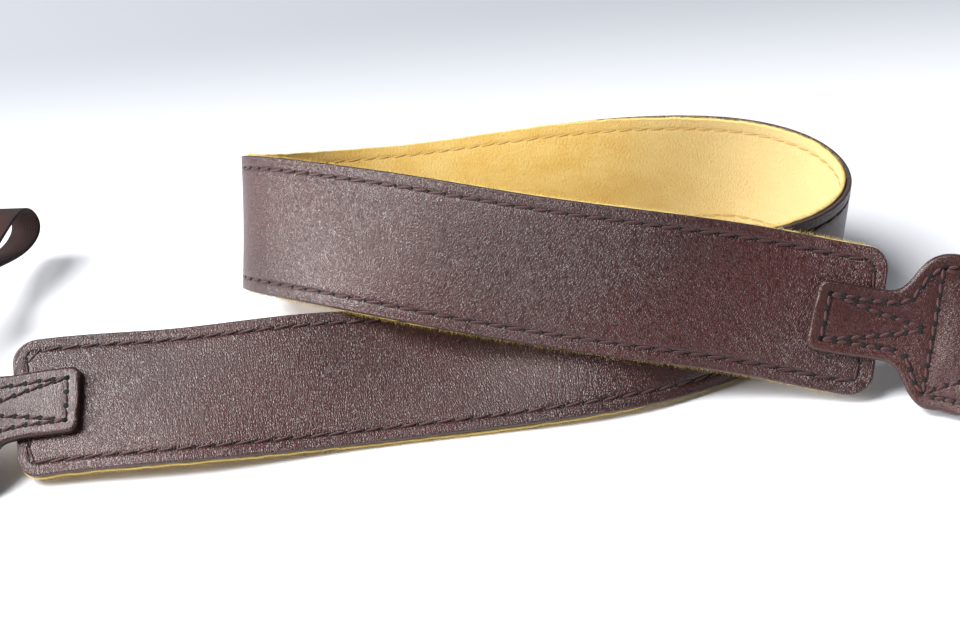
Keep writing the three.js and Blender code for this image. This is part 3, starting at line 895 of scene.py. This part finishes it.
# %% [markdown]
# The slider is one moulded piece that holds the fold: two walls beside the webbing and three bars
# across it. A Boolean could cut it from a block, but overlapping blocks keep clean edges for the
# bevel, and a mould leaves rounded edges. The photograph hides the slider, so it is plain.

# %% The sliders
BAR_INSET, BEVEL, BEVEL_SEGMENTS = 0.3, 0.4, 3


def slider_skin(name, end, way):
    middle_bar = frames_at(end - way * SLIDER_DISTANCE)
    origin, across_axis, out_axis, forward = (part[0] for part in middle_bar)
    inner = WEBBING_WIDTH / 2 + SLIDER_CLEARANCE
    outer, half = inner + SLIDER_WALL, SLIDER_LENGTH / 2
    low_bar = WEBBING_FACE + GAP
    foot_climb = BAR_CLIMB * float(hump(np.array((half - SLIDER_BAR) / half)))
    high_bar = WEBBING_FACE + RETURN_HEIGHT + foot_climb + BAR_GAP
    top = high_bar + SLIDER_WALL
    bar, bar_across = SLIDER_BAR / 2, outer - BAR_INSET
    blocks = [
        ((-half, half), (inner, outer), (WEBBING_BACK, top)),
        ((-half, half), (-outer, -inner), (WEBBING_BACK, top)),
        ((-bar, bar), (-bar_across, bar_across), (low_bar, low_bar + SLIDER_WALL)),
        ((half - SLIDER_BAR, half), (-outer, outer), (high_bar, top)),
        ((-half, -half + SLIDER_BAR), (-outer, outer), (high_bar, top)),
    ]
    mesh = bmesh.new()
    for block in blocks:
        made = bmesh.ops.create_cube(mesh, size=1)["verts"]
        bmesh.ops.scale(mesh, vec=[high - low for low, high in block], verts=made)
        bmesh.ops.translate(mesh, vec=[(high + low) / 2 for low, high in block], verts=made)
        edges = list({edge for vertex in made for edge in vertex.link_edges})
        round_edges = {"offset": BEVEL, "segments": BEVEL_SEGMENTS, "profile": 0.5}
        bmesh.ops.bevel(mesh, geom=edges, affect="EDGES", **round_edges)
    slider_turn = Matrix([forward, across_axis, out_axis]).transposed().to_4x4()
    bmesh.ops.transform(mesh, matrix=slider_turn, verts=mesh.verts)
    bmesh.ops.translate(mesh, vec=Vector(origin + SHIFT), verts=mesh.verts)
    bmesh.ops.scale(mesh, vec=(MM, MM, MM), verts=mesh.verts)
    bmesh.ops.recalc_face_normals(mesh, faces=mesh.faces)
    data = bpy.data.meshes.new(name)
    mesh.to_mesh(data)
    mesh.free()
    data.materials.append(slider_plastic)
    data.shade_smooth()
    return in_scene(name, data)


slider_skins = {
    name: slider_skin("slider_" + name + "_skin", end, way)
    for name, (way, _, end) in SIDES.items()
}
print("slider faces", [len(piece.data.polygons) for piece in slider_skins.values()])

# %% [markdown]
# Stitches repeat along the seams, so Geometry Nodes place them. An Array modifier on a curve could
# too, but would not turn each stitch to lie on the leather. Each seam is first a set of points that
# know which way the thread runs and which way is up. The tree puts a small bead of thread on each,
# or a flat dark bead of painted shade for an awl hole. Its sizes are in millimetres, because the
# bead is one wide.

# %% The stitch tree
def geometry_tree(name, inputs):
    """A Geometry Nodes tree that takes a geometry, the named values and a material."""
    tree = bpy.data.node_groups.new(name, "GeometryNodeTree")
    face = tree.interface
    face.new_socket("Geometry", in_out="INPUT", socket_type="NodeSocketGeometry")
    for label, (kind, value) in inputs.items():
        socket = face.new_socket(label, in_out="INPUT", socket_type="NodeSocket" + kind)
        socket.default_value = value
    face.new_socket("Material", in_out="INPUT", socket_type="NodeSocketMaterial")
    face.new_socket("Geometry", in_out="OUTPUT", socket_type="NodeSocketGeometry")
    return tree, add(tree, "NodeGroupInput").outputs[: len(inputs) + 2]


def stitch_tree():
    sizes = {"Length": ("Float", 3.8), "Thickness": ("Float", 0.7), "Height": ("Float", 0.5)}
    tree, (points, length, thickness, height, material) = geometry_tree("stitches", sizes)
    ball = {"Segments": 8, "Rings": 7, "Radius": 0.5 * MM}
    bead = add(tree, "GeometryNodeMeshUVSphere", ball).outputs[0]
    lying = {"Geometry": bead, "Rotation": (0, math.pi / 2, 0)}
    laid = add(tree, "GeometryNodeTransform", lying).outputs[0]
    size = add(tree, "ShaderNodeCombineXYZ", {0: length, 1: thickness, 2: height}).outputs[0]
    kind, vector = "GeometryNodeInputNamedAttribute", "FLOAT_VECTOR"
    run = add(tree, kind, {"Name": "run"}, data_type=vector).outputs[0]
    rise = add(tree, kind, {"Name": "rise"}, data_type=vector).outputs[0]
    axes = {"primary_axis": "X", "secondary_axis": "Z"}
    turn = add(tree, "FunctionNodeAxesToRotation", {0: run, 1: rise}, **axes).outputs[0]
    beads = {"Points": points, "Instance": laid, "Rotation": turn, "Scale": size}
    placed = add(tree, "GeometryNodeInstanceOnPoints", beads).outputs[0]
    plain = add(tree, "GeometryNodeRealizeInstances", {0: placed}).outputs[0]
    smooth = add(tree, "GeometryNodeSetShadeSmooth", {0: plain}).outputs[0]
    thread_on = {"Geometry": smooth, "Material": material}
    coated = add(tree, "GeometryNodeSetMaterial", thread_on).outputs[0]
    add(tree, "NodeGroupOutput", {0: coated})
    return tree


def vector_attribute(mesh, name, values):
    attribute = mesh.attributes.new(name, "FLOAT_VECTOR", "POINT")
    attribute.data.foreach_set("vector", np.asarray(values, np.float32).ravel())


def grown(name, carrier, tree, values):
    """Runs a Geometry Nodes tree on a carrier mesh and returns a plain mesh object."""
    host = in_scene(name + "_host", carrier)
    modifier = host.modifiers.new(name, "NODES")
    modifier.node_group = tree
    items = [item for item in tree.interface.items_tree if item.in_out == "INPUT"]
    sockets = {item.name: item.identifier for item in items}
    for label, value in values.items():
        modifier[sockets[label]] = value
    evaluated = host.evaluated_get(bpy.context.evaluated_depsgraph_get())
    mesh = bpy.data.meshes.new_from_object(evaluated)
    host.modifiers.clear()
    bpy.data.objects.remove(host)
    mesh.name = name
    return in_scene(name, mesh)


STITCHES = stitch_tree()


def sew(name, places, run, rise, size, material):
    """A bead at each place; size is its length, thickness and height."""
    carrier = bpy.data.meshes.new(name + "_points")
    carrier.from_pydata(((places + SHIFT) * MM).tolist(), [], [])
    vector_attribute(carrier, "run", run)
    vector_attribute(carrier, "rise", rise)
    sizes = dict(zip(("Length", "Thickness", "Height"), size))
    return grown(name, carrier, STITCHES, {**sizes, "Material": material})

# %% [markdown]
# The band's seam runs all round, a little inside the edge, through both layers. It could be one
# long rope, but a lock stitch lies slightly askew between its two holes, which gives the line its
# look, so each stitch and each hole is a bead of its own, a hole's bead black with painted shade.
# The suede side shows no open holes.

# %% The band's seam
BAND_PITCH = 4.7
SLANT = 0.16
BAND_THREAD, LINING_THREAD = (BAND_PITCH * 0.95, 0.78, 0.62), (BAND_PITCH * 0.95, 0.6, 0.4)
BAND_HOLE = (1.0, 0.7, 0.3)
BAND_THREAD_HEIGHT, LINING_THREAD_HEIGHT = LEATHER_FACE - 0.14, LINING_BACK + 0.16


def round_seam(inset, pitch):
    """Places along a rounded rectangle inside the band's outline."""
    corner = BAND_CORNER - inset
    start, end = LEFT_END + inset + corner, RIGHT_END - inset - corner
    half = BAND_WIDTH / 2 - inset - corner
    line = []
    for x, y, first in ((end, half, 0), (start, half, 90), (start, -half, 180), (end, -half, 270)):
        for degrees in range(first, first + 91, 15):
            angle = math.radians(degrees)
            line.append((x + corner * math.cos(angle), y + corner * math.sin(angle)))
    return seam_along(line + line[:1], pitch)


def on_band(spots, height):
    middle, across_axis, out_axis, _ = frames_at(spots[:, 0])
    lifted = height + slow_wave(spots[:, 0], spots[:, 1])
    return middle + spots[:, 1:] * across_axis + lifted[:, None] * out_axis, out_axis


def askew(run, rise):
    return unit(run + SLANT * np.cross(rise, run))


def band_stitches(name, height, sign, size, material, with_holes):
    holes, outward = on_band(round_seam(SEAM_INSET, BAND_PITCH), height)
    middles = (holes[:-1] + holes[1:]) / 2
    rise = sign * unit(outward[:-1] + outward[1:])
    run = unit(np.diff(holes, axis=0))
    pieces = [sew(name, middles, askew(run, rise), rise, size, material)]
    if with_holes:
        out = sign * outward[:-1]
        aside = np.cross(out, run)
        pieces.append(sew(name + "_holes", holes[:-1], aside, out, BAND_HOLE, awl_hole_shade))
    return pieces


leather_stitches = band_stitches(
    "band_stitches", BAND_THREAD_HEIGHT, 1, BAND_THREAD, leather_thread, with_holes=True
)
lining_stitches = band_stitches(
    "lining_stitches", LINING_THREAD_HEIGHT, -1, LINING_THREAD, suede_thread, with_holes=False
)
print("band stitches", len(round_seam(SEAM_INSET, BAND_PITCH)) - 1)

# %% [markdown]
# The connectors are sewn by hand with a thicker thread and larger round holes: along their edges,
# across the shoulders, and in two legs that meet like a V on the tongue and on the padded body. The
# same tree sews them, on points that follow the swollen face.

# %% The connectors' seams
HAND_PITCH = 3.7
HAND_THREAD, HAND_HOLE = (HAND_PITCH * 0.7, 0.95, 0.7), (1.6, 1.5, 0.45)
HOLE_LIFT, THREAD_LIFT = 0.08, 0.1
HOLE_TURN = [0.3, 0.9, 0.1]  # no connector faces this way, so it can turn every hole


def on_connector(spots, tip, way):
    middle, across_axis, out_axis, _ = frames_at(tip + way * spots[:, 0])
    height = connector_top(spots[:, 0], spots[:, 1]) + HOLE_LIFT
    return middle + spots[:, 1:] * across_axis + height[:, None] * out_axis, out_axis


def connector_stitches(name, tip, way):
    rows = []
    for line in SEAMS:
        holes, out = on_connector(seam_along(line, HAND_PITCH), tip, way)
        run = unit(np.diff(holes, axis=0))
        rise = unit(out[:-1] + out[1:])
        rows.append((holes, out, (holes[:-1] + holes[1:]) / 2, run, rise))
    holes, out, middles, run, rise = (np.concatenate(part) for part in zip(*rows))
    places, runs = middles + THREAD_LIFT * rise, askew(run, rise)
    sewn_thread = sew(name, places, runs, rise, HAND_THREAD, leather_thread)
    flat = unit(np.cross(out, np.broadcast_to(HOLE_TURN, out.shape)))
    return [sewn_thread, sew(name + "_holes", holes, flat, out, HAND_HOLE, awl_hole_shade)]


hand_stitches = [
    connector_stitches("connector_" + name + "_stitches", TIPS[name], way)
    for name, (way, _, _) in SIDES.items()
]
print("connector stitch faces", [len(pair[0].data.polygons) for pair in hand_stitches])

# %% [markdown]
# Suede sheds fine fibres where it is cut. A hair system could draw them, but a reusable piece has
# to be a plain mesh. So the tree scatters thin three-sided spikes, which lean at random, over a
# narrow strip along the lining's edge, with a fixed seed.

# %% The fibres along the suede
FIBRE_LENGTH, FIBRE_SEED = 1.4, 7
LEAST_LEAN, MOST_LEAN = (-0.9, -0.9, -0.9), (0.9, 0.9, 0.9)  # radians
CLEAR_OF_ENDS, STRIP_STEP, STRIP_INSET = 7, 2.0, 0.1


def fibre_growth():
    amount = {"Per square metre": ("Float", 9e6), "Length": ("Float", FIBRE_LENGTH)}
    kind = {"Thickness": ("Float", 0.07), "Seed": ("Int", FIBRE_SEED)}
    tree, given = geometry_tree("fibres", {**amount, **kind})
    strip, density, length, thickness, seed, material = given
    scatter = {"Mesh": strip, "Density": density, "Seed": seed}
    spots = add(tree, "GeometryNodeDistributePointsOnFaces", scatter)
    thin = {"Vertices": 3, "Radius Top": 0.0, "Radius Bottom": 0.5 * MM, "Depth": MM}
    spike = add(tree, "GeometryNodeMeshCone", thin).outputs[0]
    leans = {0: LEAST_LEAN, 1: MOST_LEAN, "Seed": seed}
    tilt = add(tree, "FunctionNodeRandomValue", leans, data_type="FLOAT_VECTOR").outputs[0]
    turns = {0: spots.outputs["Rotation"], 1: tilt}
    lean = add(tree, "FunctionNodeRotateRotation", turns).outputs[0]
    shares = add(tree, "FunctionNodeRandomValue", {2: 0.25, 3: 1.0}, data_type="FLOAT").outputs[1]
    long = add(tree, "ShaderNodeMath", {0: shares, 1: length}, operation="MULTIPLY").outputs[0]
    size = add(tree, "ShaderNodeCombineXYZ", {0: thickness, 1: thickness, 2: long}).outputs[0]
    spikes = {"Points": spots.outputs["Points"], "Instance": spike, "Rotation": lean, "Scale": size}
    placed = add(tree, "GeometryNodeInstanceOnPoints", spikes).outputs[0]
    plain = add(tree, "GeometryNodeRealizeInstances", {0: placed}).outputs[0]
    coated = add(tree, "GeometryNodeSetMaterial", {"Geometry": plain, "Material": material})
    add(tree, "NodeGroupOutput", {0: coated.outputs[0]})
    return tree


def edge_strip(name):
    """Two narrow strips, one over each cut edge of the lining, facing outwards."""
    at = np.arange(LEFT_END + CLEAR_OF_ENDS, RIGHT_END - CLEAR_OF_ENDS, STRIP_STEP)
    middle, across_axis, out_axis, _ = frames_at(at)
    half, count = BAND_WIDTH / 2 + LINING_PROUD, len(at)
    corners, faces = [], []
    for sign in (-1, 1):
        base = len(corners)
        for height in (LINING_BACK + STRIP_INSET, LINING_FACE - STRIP_INSET):
            corners.extend(middle + sign * half * across_axis + height * out_axis)
        for i in range(base, base + count - 1):
            quad = (i, i + 1, count + i + 1, count + i)
            faces.append(quad if sign < 0 else quad[::-1])
    mesh = bpy.data.meshes.new(name)
    mesh.from_pydata(((np.array(corners) + SHIFT) * MM).tolist(), [], faces)
    return mesh


coat = {"Material": suede_fibre}
fibres = grown("suede_fibres", edge_strip("fibre_strip"), fibre_growth(), coat)
print("fibre faces", len(fibres.data.polygons))

# %% [markdown]
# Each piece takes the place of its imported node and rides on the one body. The stitches and fibres
# have no node of their own, so they only ride.

# %% Pieces onto the part
replaced = {
    "band_leather": (band_skin, "grain_leather"),
    "band_lining": (lining_skin, "suede_lining"),
}
for name in SIDES:
    replaced["connector_" + name] = (connector_skins[name], "smooth_leather")
    replaced["webbing_" + name] = (webbing_skins[name], "woven_webbing")
    replaced["slider_" + name] = (slider_skins[name], "moulded_plastic")
for node, (piece, slot) in replaced.items():
    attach(piece, "root")
    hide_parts(node)
sewn = leather_stitches + [piece for pair in hand_stitches for piece in pair]
for piece in sewn:
    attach(piece, "root")
for piece in lining_stitches + [fibres]:
    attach(piece, "root")
print("pieces", len(replaced) + len(sewn) + len(lining_stitches) + 1)

# %% [markdown]
# The strap lies on white paper in soft light from the left, where a low lamp stands like a window.
# The paper is painted greyer towards the back, as painted shade for the light that fades there.
# A second lamp hangs high as the bright ceiling, a weak one behind the right side draws the far
# edges, and a pale world lifts the shadows. A sky texture could light it all, but three lamps can
# be matched to the photograph one by one. The paper reaches so far that no view shows its edge.

# %% Table and light
PAPER_REACH = 12.0  # metres
PALE_UP_TO, GREY_FROM = 0.02, 0.27  # metres behind the middle
floor_mesh = bpy.data.meshes.new("table")
square = ((-1, -1), (1, -1), (1, 1), (-1, 1))
paper_corners = [(x * PAPER_REACH, y * PAPER_REACH, 0) for x, y in square]
floor_mesh.from_pydata(paper_corners, [], [(0, 1, 2, 3)])
table = in_scene("table", floor_mesh)
paper, paper_tree, paper_shader = new_material("white_paper", {"Roughness": 0.7})
on_table = add(paper_tree, "ShaderNodeTexCoord").outputs["Object"]
behind = add(paper_tree, "ShaderNodeSeparateXYZ", {0: on_table}).outputs[1]
# Painted shade: the paper greys towards the back, where less lamp light reaches it.
falloff_shade = tinted(paper_tree, colour("#f1f3f8"), "#a4a8ae", behind, PALE_UP_TO, GREY_FROM)
paper_tree.links.new(falloff_shade, paper_shader.inputs["Base Color"])
floor_mesh.materials.append(paper)
table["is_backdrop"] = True


def area_lamp(name, where, aim, size, power, hex_value):
    data = bpy.data.lights.new(name, "AREA")
    data.shape, data.size, data.energy = "SQUARE", size, power
    data.color = colour(hex_value)[:3]
    facing = (Vector(aim) - Vector(where)).to_track_quat("-Z", "Y").to_matrix().to_4x4()
    in_scene(name, data).matrix_world = Matrix.Translation(where) @ facing


area_lamp("window", (-1.8, -0.3, 0.75), (-0.1, 0, 0.03), 0.8, 41.0, "#fffdfb")
area_lamp("ceiling", (-1.3, -0.2, 1.8), (-0.1, 0, 0), 1.1, 80.0, "#ffffff")
area_lamp("back", (0.9, 1.5, 1.2), (0.03, 0, 0.02), 1.2, 5.0, "#f6f9ff")
world = bpy.data.worlds.new("room")
world.use_nodes = True
room_light = world.node_tree.nodes["Background"].inputs
room_light["Color"].default_value = colour("#f4f7ff")
room_light["Strength"].default_value = 0.14
bpy.context.scene.world = world
bpy.context.scene.view_settings.view_transform = "Standard"
print("lamps", [lamp.name for lamp in bpy.data.lights])

# %% [markdown]
# The dressed strap must stay as large as the imported part. Both boxes are kept for comparison and
# printed.

# %% Sizes and finish
boxes = {"cad": cad_box, "visual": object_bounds()}
plain_boxes = {name: [[float(c) for c in corner] for corner in box] for name, box in boxes.items()}
for name, box in plain_boxes.items():
    print(name, "box", [[round(c / MM, 1) for c in corner] for corner in box], "mm")
